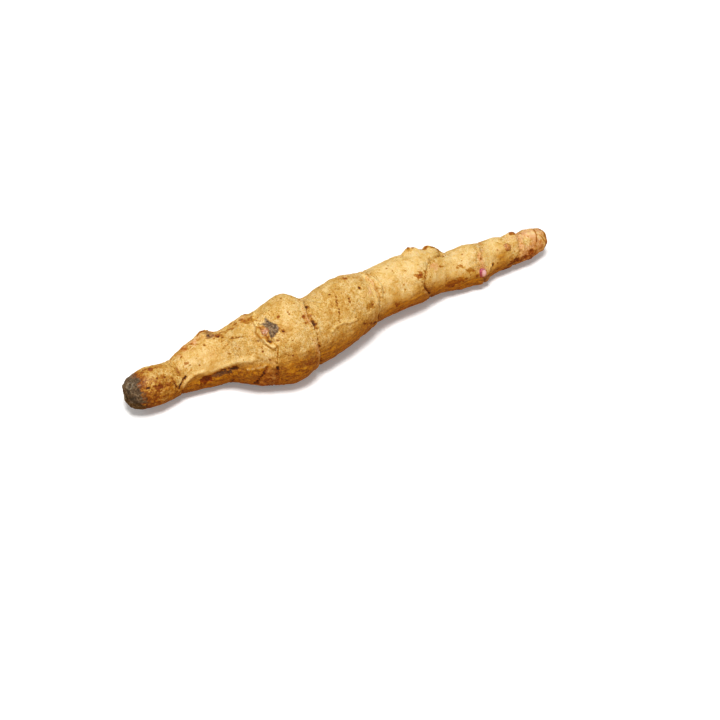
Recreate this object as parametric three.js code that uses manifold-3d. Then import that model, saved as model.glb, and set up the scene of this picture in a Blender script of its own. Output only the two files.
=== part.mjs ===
// A jerusalem artichoke: one dug tuber, lying on a flat surface.
// It grew as one piece, so it is one closed solid. Swollen joints meet at ring-shaped nodes, and the
// side buds and stubs that grow at the nodes stand out of the skin.
// Units are millimetres. +X runs from the old stem end to the growing tip, +Z is up, and the tuber
// lies on z = 0. Angles round the tuber start at its top and grow towards its front, which is -Y.

import * as THREE from "three";
import { mergeVertices } from "three/addons/utils/BufferGeometryUtils.js";
import Module from "manifold-3d";

// ---------------------------------------------------------------------------------------------
// Driving dimensions

// The growth line: x, y and z of the tuber's middle, and its radius there, at each place where the
// girth or the bend changes.
const GROWTH_LINE = [
  [-75.5, 2.6, 7.0, 5.5],
  [-70.5, 2.1, 7.7, 6.4],
  [-65.5, 2.5, 7.1, 6.0],
  [-61.0, 3.2, 6.6, 5.9],
  [-55.0, 3.6, 7.1, 7.0],
  [-49.0, 3.4, 7.6, 7.8],
  [-44.5, 2.3, 8.3, 8.1],
  [-40.0, 0.4, 9.7, 9.4],
  [-36.0, -1.9, 11.1, 10.7],
  [-30.5, -3.9, 12.1, 11.9],
  [-25.0, -4.7, 12.6, 12.6],
  [-19.5, -4.4, 11.9, 11.7],
  [-14.5, -4.0, 11.1, 10.7],
  [-8.0, -3.0, 11.3, 10.6],
  [-1.0, -1.3, 11.1, 10.2],
  [5.5, 0.3, 10.3, 9.1],
  [10.5, 1.0, 9.8, 8.5],
  [18.0, 1.6, 9.6, 8.6],
  [25.5, 1.9, 9.6, 8.8],
  [31.0, 2.3, 8.8, 8.0],
  [36.0, 2.2, 7.5, 6.9],
  [42.0, 0.9, 6.7, 6.7],
  [49.0, 0.2, 6.6, 6.9],
  [55.0, 0.9, 6.0, 5.9],
  [61.0, 0.4, 6.4, 5.8],
  [67.0, -0.2, 6.4, 5.2],
  [71.5, -0.1, 6.3, 4.8],
  [75.5, 0.6, 5.8, 4.1],
];
const STEM_END_LENGTH = 3.8; // the blunt old stem end, past the line's first point
const TIP_LENGTH = 4.0; // the rounded growing tip, past the line's last point

// Lobes grown together with the body: where each is fattest, and how far it swells the radius.
const LOBES = [
  { x: -47.5, round: -34, height: 1.1, halfLength: 4, halfRound: 34 },
  { x: -31.0, round: 130, height: 2.2, halfLength: 15, halfRound: 46 },
  { x: 33.0, round: -30, height: 0.8, halfLength: 4, halfRound: 36 },
];

// The nodes: where each ring crosses the growth line, and the groove that it makes.
const NODES = [
  { x: -61.5, depth: 0.35, halfWidth: 1.0 },
  { x: -46.5, depth: 0.3, halfWidth: 0.9 },
  { x: -34.0, depth: 0.4, halfWidth: 0.9 },
  { x: -20.0, depth: 0.9, halfWidth: 1.5 },
  { x: 6.5, depth: 0.4, halfWidth: 0.9 },
  { x: 29.0, depth: 0.45, halfWidth: 1.0 },
  { x: 50.5, depth: 0.4, halfWidth: 0.9 },
  { x: 67.0, depth: 0.4, halfWidth: 0.9 },
];

// The buds and stubs: along x, round the tuber in degrees, width at the skin, and height above it.
const BUDS = [
  { x: -61.0, round: 222, width: 3.0, height: 0.9 },
  { x: -47.0, round: -30, width: 4.4, height: 1.0 },
  { x: -35.1, round: 31, width: 3.4, height: 1.1 },
  { x: -33.5, round: 226, width: 4.0, height: 1.4 },
  { x: -19.5, round: 262, width: 3.6, height: 1.2 },
  { x: 3.5, round: 56, width: 3.0, height: 0.7 },
  { x: 7.5, round: 232, width: 3.6, height: 1.2 },
  { x: 26.5, round: -40, width: 3.8, height: 1.2 },
  { x: 33.0, round: -36, width: 4.6, height: 1.4 },
  { x: 30.0, round: 214, width: 3.2, height: 0.9 },
  { x: 48.5, round: 81, width: 2.6, height: 1.1 },
  { x: 48.8, round: 116, width: 3.4, height: 1.0 },
  { x: 51.0, round: 262, width: 3.4, height: 1.2 },
  { x: 59.9, round: 36, width: 2.6, height: 0.8 },
  { x: 65.2, round: -30, width: 3.0, height: 0.7 },
  { x: 67.5, round: 230, width: 3.0, height: 1.0 },
];
const BUD_ROOT = 1.6; // how deep each bud's own solid reaches into the flesh
const BUD_LEAN = 20; // degrees that a bud leans towards the growing tip
// The bud's outline from its shoulder to its point, as [share of its width, share of its height].
const BUD_OUTLINE = [
  [0.62, -0.2],
  [0.46, 0.35],
  [0.26, 0.8],
  [0, 1],
];

// How finely the solid is faceted.
const SIDES = 32;
const ROWS_PER_SPAN = 2;
const CAP_ROWS = 4;
const BUD_SIDES = 10;
const GROOVE_CLEARANCE = 0.3; // how near a groove's rows another row may be, as a share of the row gap
const HALVINGS = 30; // steps to find a place on the growth line
const SAME_POINT = 1e-4; // corners closer than this are one corner

// ---------------------------------------------------------------------------------------------
// The growth line as curves that share one parameter, from 0 at its first point to 1 at its last

const middle = new THREE.CatmullRomCurve3(
  GROWTH_LINE.map(([x, y, z]) => new THREE.Vector3(x, y, z)),
  false,
  "catmullrom",
);
const girth = new THREE.SplineCurve(GROWTH_LINE.map(([x, , , radius]) => new THREE.Vector2(x, radius)));

// The parameter at which the growth line reaches this x, found by halving.
function parameterAt(x) {
  let low = 0;
  let high = 1;
  for (let step = 0; step < HALVINGS; step++) {
    const half = (low + high) / 2;
    if (middle.getPoint(half).x < x) low = half;
    else high = half;
  }
  return (low + high) / 2;
}

// The cross-section's own axes: along the growth line, towards the top, and towards the front.
function axesAt(t) {
  const along = middle.getTangent(t);
  const front = along.clone().cross(new THREE.Vector3(0, 0, 1)).normalize();
  const top = front.clone().cross(along);
  return { along, top, front };
}

// The outward direction at an angle round the tuber.
function outward({ top, front }, degrees) {
  const angle = THREE.MathUtils.degToRad(degrees);
  return top.clone().multiplyScalar(Math.cos(angle)).addScaledVector(front, Math.sin(angle));
}

const bell = (distance, halfWidth) => Math.exp(-((distance / halfWidth) ** 2));

// How much the side lobes add to the radius.
function lobeAt(x, degrees) {
  let swell = 0;
  for (const lobe of LOBES) {
    const turn = THREE.MathUtils.euclideanModulo(degrees - lobe.round + 180, 360) - 180;
    swell += lobe.height * bell(x - lobe.x, lobe.halfLength) * bell(turn, lobe.halfRound);
  }
  return swell;
}

// The radius at an angle, with the side lobes and with the node grooves pressed in.
function radiusAt(t, degrees) {
  const { x } = middle.getPoint(t);
  const groove = Math.max(...NODES.map((node) => node.depth * bell(x - node.x, node.halfWidth)));
  return girth.getPoint(t).y + lobeAt(x, degrees) - groove;
}

// ---------------------------------------------------------------------------------------------
// The body: rings of points, from one end to the other, closed by a point at each end

// Even rows along every span, and three close ones across each node groove.
function rowParameters() {
  const rows = [];
  const count = (GROWTH_LINE.length - 1) * ROWS_PER_SPAN;
  for (let row = 0; row <= count; row++) rows.push(row / count);
  const grooves = NODES.flatMap(({ x, halfWidth }) => [x - halfWidth, x, x + halfWidth].map(parameterAt));
  const gap = GROOVE_CLEARANCE / count;
  const kept = rows.filter((t) => grooves.every((groove) => Math.abs(groove - t) > gap));
  return [...kept, ...grooves].sort((a, b) => a - b);
}

// One ring of points about a centre: the section at t, shrunk to a share of its size.
function ringOfPoints(t, centre, share) {
  const axes = axesAt(t);
  const points = [];
  for (let side = 0; side < SIDES; side++) {
    const degrees = (side / SIDES) * 360;
    points.push(centre.clone().addScaledVector(outward(axes, degrees), share * radiusAt(t, degrees)));
  }
  return points;
}

// A rounded end: rings that shrink as a quarter ellipse. The sign says which way the end points.
function capRings(t, length, sign) {
  const { along } = axesAt(t);
  const base = middle.getPoint(t);
  const rings = [];
  for (let row = 1; row < CAP_ROWS; row++) {
    const angle = ((row / CAP_ROWS) * Math.PI) / 2;
    const centre = base.clone().addScaledVector(along, sign * length * Math.sin(angle));
    rings.push(ringOfPoints(t, centre, Math.cos(angle)));
  }
  const end = base.clone().addScaledVector(along, sign * length);
  return { rings, end };
}

function bodyGeometry() {
  const stemEnd = capRings(0, STEM_END_LENGTH, -1);
  const tip = capRings(1, TIP_LENGTH, 1);
  const rings = [
    ...stemEnd.rings.reverse(),
    ...rowParameters().map((t) => ringOfPoints(t, middle.getPoint(t), 1)),
    ...tip.rings,
  ];
  const points = [...rings.flat(), stemEnd.end, tip.end];
  const faces = [];
  const startPoint = rings.length * SIDES;
  const lastRing = (rings.length - 1) * SIDES;
  for (let side = 0; side < SIDES; side++) {
    const next = (side + 1) % SIDES;
    for (let ring = 0; ring < rings.length - 1; ring++) {
      const here = ring * SIDES;
      const beyond = here + SIDES;
      faces.push(here + side, here + next, beyond + side);
      faces.push(here + next, beyond + next, beyond + side);
    }
    faces.push(startPoint, next, side);
    faces.push(startPoint + 1, lastRing + side, lastRing + next);
  }
  return new THREE.BufferGeometry().setFromPoints(points).setIndex(faces);
}

// ---------------------------------------------------------------------------------------------
// The buds: pointed eggs that stand in the skin and lean towards the growing tip

function budGeometry({ x, round, width, height }) {
  const outline = [
    [0, -BUD_ROOT],
    [width / 2, -BUD_ROOT],
    ...BUD_OUTLINE.map(([across, up]) => [across * width, up * height]),
  ].map(([across, up]) => new THREE.Vector2(across, up));
  const bud = new THREE.LatheGeometry(outline, BUD_SIDES);

  const t = parameterAt(x);
  const axes = axesAt(t);
  const direction = outward(axes, round);
  const lean = Math.tan(THREE.MathUtils.degToRad(BUD_LEAN));
  const axis = direction.clone().addScaledVector(axes.along, lean).normalize();
  const turn = new THREE.Quaternion().setFromUnitVectors(new THREE.Vector3(0, 1, 0), axis);
  const foot = middle.getPoint(t).addScaledVector(direction, radiusAt(t, round));
  return bud.applyMatrix4(new THREE.Matrix4().compose(foot, turn, new THREE.Vector3(1, 1, 1)));
}

// ---------------------------------------------------------------------------------------------
// Joining: the body, its buds, and the flats on which it rests

const manifold = await Module();
manifold.setup();

// A closed geometry as a solid that can be joined and cut.
function solidFrom(geometry) {
  const bare = geometry.index ? geometry.toNonIndexed() : geometry.clone();
  bare.deleteAttribute("normal");
  bare.deleteAttribute("uv");
  const merged = mergeVertices(bare, SAME_POINT);
  return new manifold.Manifold(
    new manifold.Mesh({
      numProp: 3,
      vertProperties: merged.attributes.position.array,
      triVerts: new Uint32Array(merged.index.array),
    }),
  );
}

// A solid as a geometry again.
function geometryFrom(solid) {
  const mesh = solid.getMesh();
  return new THREE.BufferGeometry()
    .setAttribute("position", new THREE.BufferAttribute(mesh.vertProperties, 3))
    .setIndex(new THREE.BufferAttribute(mesh.triVerts, 1));
}

// The surface under the tuber, as a block whose top is z = 0. The skin that would sink into it is
// pressed flat, as a heavy tuber's underside is.
const GROUND = { length: 200, width: 60, depth: 10 };
const ground = new THREE.BoxGeometry(GROUND.length, GROUND.width, GROUND.depth);
ground.translate(0, 0, -GROUND.depth / 2);

let tuberSolid = solidFrom(bodyGeometry());
for (const bud of BUDS) tuberSolid = tuberSolid.add(solidFrom(budGeometry(bud)));
tuberSolid = tuberSolid.subtract(solidFrom(ground));

const skin = new THREE.MeshStandardMaterial({ color: 0xd9ac62, roughness: 0.55, metalness: 0 });
const tuberGeometry = geometryFrom(tuberSolid);
const tuber = new THREE.Mesh(tuberGeometry, skin);
tuber.name = "tuber";

// The origin is on the ground, under the middle of the tuber's box.
tuberGeometry.computeBoundingBox();
const boxMiddle = tuberGeometry.boundingBox.getCenter(new THREE.Vector3());
tuber.position.set(-boxMiddle.x, -boxMiddle.y, 0);

const artichoke = new THREE.Group();
artichoke.name = "jerusalem_artichoke";
artichoke.add(tuber);

export default artichoke;
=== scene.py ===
# %% [markdown]
# # A jerusalem artichoke
#
# One long, knobbly tuber lies on a pale table. It grew as a chain of swollen joints. Where two joints
# meet there is a node: a ring-shaped crease with a bud or two beside it. The old stem end is grey and
# corky, and the growing tip is flushed pink.
#
# The part's frame gives the size, the bend and the girth. This lesson measures that frame, wraps a fine
# skin round it, presses the creases, scars and pores into the skin, grows the buds, and colours it all
# with procedural materials.

import math
from itertools import product

import bpy
import numpy as np
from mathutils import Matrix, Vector
from mathutils.bvhtree import BVHTree


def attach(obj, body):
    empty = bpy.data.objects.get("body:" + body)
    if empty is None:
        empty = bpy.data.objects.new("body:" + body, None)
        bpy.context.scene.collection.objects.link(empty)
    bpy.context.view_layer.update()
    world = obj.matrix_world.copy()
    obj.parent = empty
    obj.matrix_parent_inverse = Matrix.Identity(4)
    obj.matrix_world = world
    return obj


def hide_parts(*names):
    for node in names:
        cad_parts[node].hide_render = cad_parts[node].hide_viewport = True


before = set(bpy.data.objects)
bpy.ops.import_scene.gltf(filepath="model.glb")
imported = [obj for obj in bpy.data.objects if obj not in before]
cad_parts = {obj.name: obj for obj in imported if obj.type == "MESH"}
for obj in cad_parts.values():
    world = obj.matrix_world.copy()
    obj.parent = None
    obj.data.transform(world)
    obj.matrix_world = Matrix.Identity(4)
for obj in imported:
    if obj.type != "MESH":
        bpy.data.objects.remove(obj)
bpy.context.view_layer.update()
PER_METRE = 1000.0  # this file measures the tuber in millimetres, and Blender in metres
BODY = "root"
NODE = "tuber"

# %% [markdown]
# ## Small helpers for shapes
#
# Natural shapes come from soft steps, soft bumps and noise. A bell is a bump that fades to nothing. A
# ramp is a step with rounded ends. Noise is a field of soft lumps of one size, made from random slopes
# on the corners of a grid, as in most paint and terrain programs. It is seeded, so that the tuber comes
# out the same each time.

# %% Bells, ramps and noise
SLOPES = 256  # how many random slopes the noise draws from
NOISE_GAIN = 1.6  # brings the lumps to heights from about -1 to 1


def bell(distance, width):
    return np.exp(-((distance / width) ** 2))


def ramp(low, high, value):
    share = np.clip((value - low) / (high - low), 0.0, 1.0)
    return share * share * (3.0 - 2.0 * share)


def noise(points, size, seed):
    """Soft lumps of about this size."""
    dice = np.random.default_rng(seed)
    shuffle = dice.permutation(SLOPES)
    slopes = dice.normal(size=(SLOPES, 3))
    slopes /= np.linalg.norm(slopes, axis=1, keepdims=True)
    place = points / size
    cell = np.floor(place).astype(int)
    inside = place - cell
    fade = inside**3 * (inside * (inside * 6.0 - 15.0) + 10.0)
    total = np.zeros(points.shape[:-1])
    for corner in product((0, 1), repeat=3):
        index = 0
        for k in range(3):
            index = shuffle[(index + cell[..., k] + corner[k]) % SLOPES]
        weight = np.prod([fade[..., k] if corner[k] else 1.0 - fade[..., k] for k in range(3)], axis=0)
        total += weight * ((inside - corner) * slopes[index]).sum(axis=-1)
    return NOISE_GAIN * total


def rough(points, size, seed, layers=3):
    """Noise in layers, each half the size and half the height of the one before."""
    return sum(noise(points, size / 2**k, seed + k) / 2**k for k in range(layers))


# %% [markdown]
# ## The growth line
#
# The tuber bends, so its skin can't be a plain cylinder. First the middle of the tuber is found at each
# place along it. A ray is sent to the left, right, up and down from a guess, and the guess moves to the
# middle of what the rays hit.

# %% Find the middle of each slice
cad_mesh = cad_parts[NODE].data
corners = [vertex.co * PER_METRE for vertex in cad_mesh.vertices]
cad_surface = BVHTree.FromPolygons(corners, [tuple(face.vertices) for face in cad_mesh.polygons])

END_ROUNDING = 4.6  # how far from each end the skin starts to close
SLICE = 1.0  # from one slice to the next
GUESSES = 5  # how often each middle is corrected
LINE_SMOOTHING = 4.0
stem_x = min(corner.x for corner in corners) + END_ROUNDING
tip_x = max(corner.x for corner in corners) - END_ROUNDING


def reach(start, direction):
    """How far it is from a point inside to the surface."""
    return cad_surface.ray_cast(start, direction)[3]


def middle_of_slice(x, y, z):
    for guess in range(GUESSES):
        y += (reach((x, y, z), (0, 1, 0)) - reach((x, y, z), (0, -1, 0))) / 2
        z += (reach((x, y, z), (0, 0, 1)) - reach((x, y, z), (0, 0, -1))) / 2
    return y, z


slices = np.arange(stem_x, tip_x + SLICE / 2, SLICE)
first = [corner for corner in corners if corner.x < stem_x]
y, z = (sum(corner[k] for corner in first) / len(first) for k in (1, 2))
middles = []
for x in slices:
    y, z = middle_of_slice(x, y, z)
    middles.append((y, z))
middles = np.array(middles)


def smooth_along(values, places, width):
    """Evens out rows of values with a bell-shaped brush of this width in mm."""
    weights = bell(places[:, None] - places[None, :], width)
    return (weights / weights.sum(axis=1, keepdims=True)) @ values


middles = smooth_along(middles, slices, LINE_SMOOTHING)
print("growth line:", len(slices), "slices from", round(stem_x, 1), "to", round(tip_x, 1), "mm")

# %% [markdown]
# ## The skin's coordinates
#
# The skin is a net of rows and columns, like the lines on a globe that has been pulled long. The rows
# cross the tuber and the columns run from the stem end to the tip. Every point of the skin then has two
# plain coordinates: how far it is along the tuber in mm, and how far round in degrees, from the top
# over the front. Rows are closer together at the nodes, where the detail is.

# %% The nodes' rings
# Each ring is a list of (degrees round, mm along), so that a ring can lean and wander.
NODE_RINGS = {
    "neck": [(-36, -61.1), (20, -61.5), (46, -61.3), (64, -60.8), (88, -61.8), (120, -61.5), (220, -60.5)],
    "shoulder": [(-40, -48), (-10, -46), (20, -45), (60, -45), (120, -46), (200, -47), (270, -48)],
    "scar": [(-22, -34.2), (-4, -35.1), (14, -35.8), (36, -35.6)]
    + [(50, -33.6), (66, -34), (82, -35.2), (106, -35.1)],
    "waist": [(-28, -16.5), (10, -19.1), (24, -20.2), (42, -19.7)]
    + [(56, -20), (76, -20), (116, -19.7), (220, -18.5)],
    "middle": [(-40, 9.5), (-20, 8.8), (6, 8.3), (26, 8.3), (50, 8.3)]
    + [(64, 6.9), (76, 6.4), (98, 6.1), (220, 6.5)],
    "slant": [(-30, 39), (8, 36.3), (16, 32.7), (24, 30.1), (46, 27.1)]
    + [(66, 25.4), (82, 25.7), (102, 27.6), (180, 32)],
    "thin": [(-20, 53.3), (12, 51.3), (26, 48.6), (46, 47.8)]
    + [(66, 48.1), (120, 49.5), (200, 51.5), (290, 53)],
    "tip": [(-20, 67.8), (2, 67), (28, 65.7), (52, 65.5), (70, 64.9)]
    + [(82, 62.9), (98, 62.2), (150, 63.5), (240, 67)],
}
print("nodes:", ", ".join(NODE_RINGS))

# %% Rows and columns
COLUMNS = 180
PLAIN_GAP = 0.42  # between rows, away from the nodes
NODE_GAP = 0.21
NODE_REACH = 3.0
END_GAP = 0.3


def row_gap(place, ring_middles):
    nearness = max(bell(place - middle, NODE_REACH) for middle in ring_middles)
    return PLAIN_GAP - (PLAIN_GAP - NODE_GAP) * nearness


ring_middles = [np.mean([along for degrees, along in ring]) for ring in NODE_RINGS.values()]
quarter_turn = END_ROUNDING * math.pi / 2
rows = [stem_x - quarter_turn]
while rows[-1] < tip_x + quarter_turn:
    at_end = rows[-1] < stem_x or rows[-1] > tip_x
    rows.append(rows[-1] + (END_GAP if at_end else row_gap(rows[-1], ring_middles)))
rows = np.array(rows[:-1] + [tip_x + quarter_turn])
degrees = np.arange(COLUMNS) * 360.0 / COLUMNS
print("net:", len(rows), "rows by", COLUMNS, "columns")

# %% [markdown]
# ## Wrapping the skin round the frame
#
# From the middle of every row a ray goes out to each column, and its length is the tuber's radius
# there. At the two ends the rays fan out towards the pole, as on a globe. The measured radii are then
# evened out, which takes away the flat facets of the frame but keeps its size and its swellings.

# %% Measure the radii
SMOOTHING_ALONG = 1.7  # mm
SMOOTHING_ROUND = 9.0  # degrees
NO_LENGTH = 1e-4  # a normal shorter than this has no direction
tilt = (np.clip(rows - tip_x, 0, None) - np.clip(stem_x - rows, 0, None)) / END_ROUNDING
row_x = np.clip(rows, stem_x, tip_x)
centres = np.stack([row_x, *(np.interp(row_x, slices, middles[:, k]) for k in (0, 1))], axis=1)
turn = np.radians(degrees)
outward = np.stack(
    [
        np.broadcast_to(np.sin(tilt)[:, None], (len(rows), COLUMNS)),
        -np.cos(tilt)[:, None] * np.sin(turn)[None, :],
        np.cos(tilt)[:, None] * np.cos(turn)[None, :],
    ],
    axis=-1,
)
radii = np.array([[reach(centre, ray) for ray in fan] for centre, fan in zip(centres, outward)])


def smooth_round(values, width):
    """Evens out each row round the tuber, with a brush of this width in degrees."""
    waves = np.fft.rfftfreq(COLUMNS, d=360.0 / COLUMNS)
    damping = np.exp(-((math.pi * width * waves) ** 2))
    return np.fft.irfft(np.fft.rfft(values, axis=-1) * damping, n=COLUMNS, axis=-1)


radii = smooth_round(smooth_along(radii, rows, SMOOTHING_ALONG), SMOOTHING_ROUND)
skin = centres[:, None, :] + outward * radii[:, :, None]


def normals_of(net):
    """The direction straight out of the skin at each point of the net."""
    lengthwise = np.gradient(net, axis=0)
    crosswise = np.roll(net, -1, axis=1) - np.roll(net, 1, axis=1)
    straight = np.cross(crosswise, lengthwise)
    size = np.linalg.norm(straight, axis=-1, keepdims=True)
    return np.where(size > NO_LENGTH, straight / np.maximum(size, NO_LENGTH), outward)


normals = normals_of(skin)
flip = np.sign((normals * outward).sum(axis=-1, keepdims=True))
normals *= np.where(flip == 0, 1.0, flip)
print("radii, mm:", radii.min().round(1), "to", radii.max().round(1))

# %% [markdown]
# ## Places and lines on the skin
#
# The features that follow all need to know how near each point of the skin is to a place or to a line.
# The result of the work is kept in two ways. The height is how far each point moves out or in, and lift
# adds to it. The stains are numbers from 0 to 1, which the materials read later as brown mottling,
# deep gold with painted shade on the underside, pale with painted highlights on crests, pink, rust,
# brown dirt or grey cork.
#
# A patch with corners is drawn as an outline. A point is inside it if a straight line from the point
# crosses the outline an odd number of times, and noise then frays the edge.


# %% Height and stains
def short_way(angle):
    """The same angle, from -180 to 180 degrees."""
    return (angle + 180) % 360 - 180


along = skin[..., 0]
signed_round = np.broadcast_to(short_way(degrees), along.shape)  # 0 at the top, 90 at the front
height = np.zeros_like(along)
stains = {name: np.zeros_like(along) for name in ("mottle", "gold_and_shade", "pale_and_highlight", "pink", "rust", "brown", "grey")}


def lift(amount):
    """Moves the skin out by this many mm, or in where the amount is negative."""
    np.add(height, amount, out=height)


def stain(name, amount):
    """Stains the skin at least this much."""
    stains[name] = np.maximum(stains[name], np.clip(amount, 0.0, 1.0))


def lumps(size, seed):
    """Noise over the skin, with lumps of this size in mm."""
    return noise(skin, size, seed)


def crumbly(size, seed):
    """The same in layers, down to much finer lumps."""
    return rough(skin, size, seed)


# %% Distances on the skin
def from_place(x, round_degrees):
    """How far each point of the skin is from a place, in mm along the tuber and in mm round it."""
    return along - x, np.radians(short_way(signed_round - round_degrees)) * radii


def near(x, round_degrees):
    """How far each point of the skin is from a place, in mm."""
    return np.hypot(*from_place(x, round_degrees))


def on_skin(x, round_degrees):
    """The point of the smooth skin at a place."""
    row = np.abs(along[:, 0] - x).argmin()
    column = int(round(round_degrees / 360.0 * COLUMNS)) % COLUMNS
    return skin[row, column]


# %% Outlines and lines on the skin
OUTLINE_SOFTNESS = 0.25


def within(places, ragged, seed):
    """How much each point lies inside an outline of places, from 0 to 1, with a ragged edge."""
    middle_x, middle_round = np.mean(places, axis=0)
    row = np.abs(along[:, 0] - middle_x).argmin()
    mm_per_degree = math.radians(1.0) * radii[row].mean()
    u = along - middle_x
    v = short_way(signed_round - middle_round) * mm_per_degree
    stops = [(x - middle_x, (angle - middle_round) * mm_per_degree) for x, angle in places]
    nearest = np.full(along.shape, np.inf)
    inside = np.zeros(along.shape, bool)
    for (u0, v0), (u1, v1) in zip(stops, stops[1:] + stops[:1]):
        du, dv = u1 - u0, v1 - v0
        share = np.clip(((u - u0) * du + (v - v0) * dv) / (du * du + dv * dv), 0.0, 1.0)
        nearest = np.minimum(nearest, np.hypot(u - u0 - share * du, v - v0 - share * dv))
        if v0 != v1:
            inside ^= ((v0 > v) != (v1 > v)) & (u < u0 + du * (v - v0) / dv)
    edge = np.where(inside, nearest, -nearest) + ragged * crumbly(1.2, seed)
    return ramp(-OUTLINE_SOFTNESS, OUTLINE_SOFTNESS, edge)


def from_line(places, steps=8):
    """The distance of each point from a smooth line through these places, and how far it is below it."""
    stops = np.array(places, float)
    ends = np.vstack([2 * stops[0] - stops[1], stops, 2 * stops[-1] - stops[-2]])
    path = []
    for k in range(1, len(stops)):
        a, b, c, d = ends[k - 1 : k + 3]
        for t in np.linspace(0, 1, steps, endpoint=False):
            bend = (c - a) * t + (2 * a - 5 * b + 4 * c - d) * t**2 + (3 * b - a - 3 * c + d) * t**3
            path.append(b + 0.5 * bend)
    path.append(stops[-1])
    nearest = np.full(along.shape, np.inf)
    line_round = np.zeros_like(along)
    for x, angle in path:
        gap = np.linalg.norm(skin - on_skin(x, angle), axis=-1)
        closer = gap < nearest
        nearest = np.where(closer, gap, nearest)
        line_round = np.where(closer, angle, line_round)
    return nearest, np.radians(short_way(signed_round - line_round)) * radii


# %% [markdown]
# ## Lumps, mottling and the shaded underside
#
# No tuber is smooth. Broad lumps go in first, then smaller ones. The skin's brown mottling is dense at
# the two ends and on the belly, and thin where the skin is young. The underside is painted a deeper
# gold, with a wandering edge: partly the skin's own colour, and partly painted shade where the skin
# turns away from the light.

# %% Lumps, mottling and the painted shade underneath
lengthwise_grain = skin * (0.4, 1.0, 1.0)
lift(0.34 * lumps(12.0, 11) + 0.22 * crumbly(5.0, 21) + 0.1 * crumbly(1.8, 31))
lift(0.1 * noise(lengthwise_grain, 1.5, 35))
# (mm along, how dense the mottling is)
MOTTLING = [(-62, 1), (-57, 0.5), (-46, 0.45), (-38, 0.85), (4, 0.85)]
MOTTLING += [(10, 0.2), (40, 0.2), (58, 0.25), (66, 0.7)]
stains["mottle"] = np.interp(along, *zip(*MOTTLING))
stains["mottle"] = np.clip(stains["mottle"] + 0.35 * lumps(6.0, 38), 0.0, 1.0)
wander = 12.0 * lumps(9.0, 41) + 6.0 * lumps(3.0, 42)
# Painted shade: the further the skin turns down from the top, the deeper gold it is stained.
stain("gold_and_shade", ramp(42, 110, np.abs(signed_round - 8) + wander))
stain("rust", 0.4 * ramp(0.1, 0.6, lumps(5.0, 44)) * ramp(0.05, 0.5, crumbly(1.3, 46)))

# %% [markdown]
# ## Node rings
#
# A node is the scar of a leaf that went all the way round. It is a thin crease in a shallow hollow. The
# older joint ends in a raised lip, pink on its crest, with a painted highlight of pale along it, and the
# younger one starts with a much lower lip. Fine wrinkles run along both, and the crease is coloured
# darker brown where it is deepest. The crease is not equally deep all round: noise along the ring
# makes it fade and come back.

# %% Press the nodes in
RING_SMOOTHING = 6.0  # degrees
CREASE = 0.36  # half widths, mm
HOLLOW = 1.7
WRINKLED = 3.0  # how far the wrinkles reach
WRINKLE_GAP = 1.1


def node_ring(name, depth, lip, dark, seed, wrinkle=0.08):
    """Presses one node in, and gives back how far each point is past it."""
    stops = sorted((turned % 360, x) for turned, x in NODE_RINGS[name])
    ring = np.interp(degrees, [turned for turned, x in stops], [x for turned, x in stops], period=360)
    ring = smooth_round(ring[None, :], RING_SMOOTHING)
    ring = ring + 0.26 * lumps(2.6, seed) + 0.1 * lumps(0.9, seed + 3)
    away = along - ring
    patchy = np.clip(0.5 + 1.1 * lumps(4.2, seed + 1), 0.0, 1.2)
    waves = np.sin(2 * math.pi * (away + 0.6 * lumps(2.2, seed + 2)) / WRINKLE_GAP)
    lift(-depth * ((0.4 + 0.6 * patchy) * bell(away, CREASE) + 0.45 * bell(away, HOLLOW)))
    lift(lip * (0.3 + 0.7 * patchy) * (bell(away + 1.1, 0.85) + 0.3 * bell(away - 1.0, 0.5)))
    lift(wrinkle * waves * bell(away, WRINKLED))
    crust = ramp(0.0, 0.5, lumps(3.4, seed + 6)) * ramp(-0.4, 0.4, lumps(0.9, seed + 4))
    # The crease is coloured darker where it is deepest.
    stain("brown", dark * (0.25 + 0.75 * patchy) * bell(away, 0.33))
    stain("brown", 0.8 * dark * crust * bell(away - 0.3, 1.0))
    stain("grey", 0.55 * dark * crust * bell(away - 0.3, 0.9))
    # Painted highlight: the older joint's lip is painted pale along its crest.
    stain("pale_and_highlight", min(0.9, 1.8 * lip) * (0.2 + 0.8 * patchy) * bell(away + 1.0, 0.8))
    stain("pink", min(0.7, 1.3 * lip) * (1.0 - 0.6 * patchy) * bell(away + 1.2, 1.2))
    stain("rust", 0.9 * lip * crust * bell(away + 1.9, 0.9))
    stain("pink", 0.3 * ramp(-0.1, 0.6, lumps(6.0, seed + 5)) * bell(away, WRINKLED))
    stain("mottle", bell(away, WRINKLED))
    return away


node_ring("neck", depth=0.25, lip=0.12, dark=0.6, seed=51)
node_ring("shoulder", depth=0.12, lip=0.1, dark=0.3, seed=54)
node_ring("scar", depth=0.25, lip=0.22, dark=0.5, seed=57)
node_ring("waist", depth=0.9, lip=0.7, dark=0.8, seed=60)
node_ring("middle", depth=0.8, lip=0.45, dark=0.7, seed=63)
node_ring("slant", depth=0.36, lip=0.22, dark=0.6, seed=66)
thin = node_ring("thin", depth=0.22, lip=0.25, dark=0.15, seed=69, wrinkle=0.03)
node_ring("tip", depth=0.4, lip=0.3, dark=0.35, seed=72, wrinkle=0.03)
print("skin moved, mm:", height.min().round(2), "to", height.max().round(2))
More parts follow.
